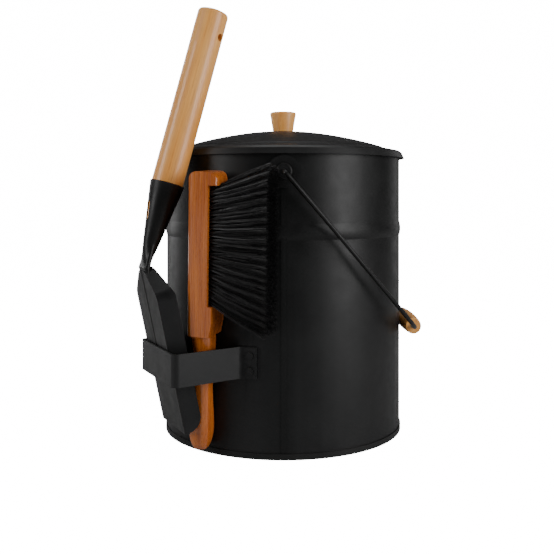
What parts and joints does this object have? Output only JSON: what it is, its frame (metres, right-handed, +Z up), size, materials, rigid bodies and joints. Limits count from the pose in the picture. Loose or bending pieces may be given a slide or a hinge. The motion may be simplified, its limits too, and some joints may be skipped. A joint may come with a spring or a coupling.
{
  "type": "ash bucket",
  "caption": "Round lidded metal ash bucket with swinging wire bail, wooden knob and grip, and a side strap holding an ash shovel and a hand brush.",
  "frame": {"origin": "on the bucket's axis, on the floor plane under the middle of the base", "axes": "+Z up along the bucket's axis, -Y to the front, where the front bail ear is, +X to the side where the bail hangs at rest"},
  "size_m": [0.2998, 0.3181, 0.447],
  "materials": {
    "black_paint": "fine matt powder coat",
    "bail_black": "satin black wire",
    "pale_wood": "clear lacquered light hardwood",
    "brown_wood": "orange-brown lacquered wood",
    "bristle_black": "black hair bristle",
    "zinc_screw": "zinc plated"
  },
  "bodies": {
    "bucket": {"bucket_body": "black_paint", "bucket_base": "black_paint", "front_ear": "black_paint", "rear_ear": "black_paint", "holder_strap": "black_paint", "strap_rivets": "black_paint"},
    "lid": {"lid": "black_paint", "lid_knob": "pale_wood", "knob_washer": "zinc_screw", "knob_screw": "zinc_screw"},
    "bail": {"bail_wire": "bail_black"},
    "grip": {"bail_grip": "pale_wood"},
    "shovel": {"shovel_pan": "black_paint", "shovel_handle": "pale_wood", "socket_pin": "black_paint"},
    "brush": {"brush_block": "brown_wood", "brush_bristles": "bristle_black"}
  },
  "joints": [
    {"name": "bail_swing", "type": "hinge", "parent": "bucket", "child": "bail", "pos_m": [0, 0, 0.28], "axis": [0, -1, 0], "range_deg": [0, 139]},
    {"name": "grip_turn", "type": "hinge", "parent": "bail", "child": "grip", "pos_m": [0.1404, 0, 0.11585], "axis": [0, 1, 0], "continuous": true},
    {"name": "lid_lift", "type": "slide", "parent": "bucket", "child": "lid", "axis": [0.2435, 0.1219, 0.9622], "range_m": [0, 0.23]},
    {"name": "shovel_lift", "type": "slide", "parent": "bucket", "child": "shovel", "axis": [-0.1859, -0.0931, 0.9781], "range_m": [0, 0.11]},
    {"name": "brush_lift", "type": "slide", "parent": "bucket", "child": "brush", "axis": [0.0174, -0.0782, 0.9968], "range_m": [0, 0.11]}
  ]
}
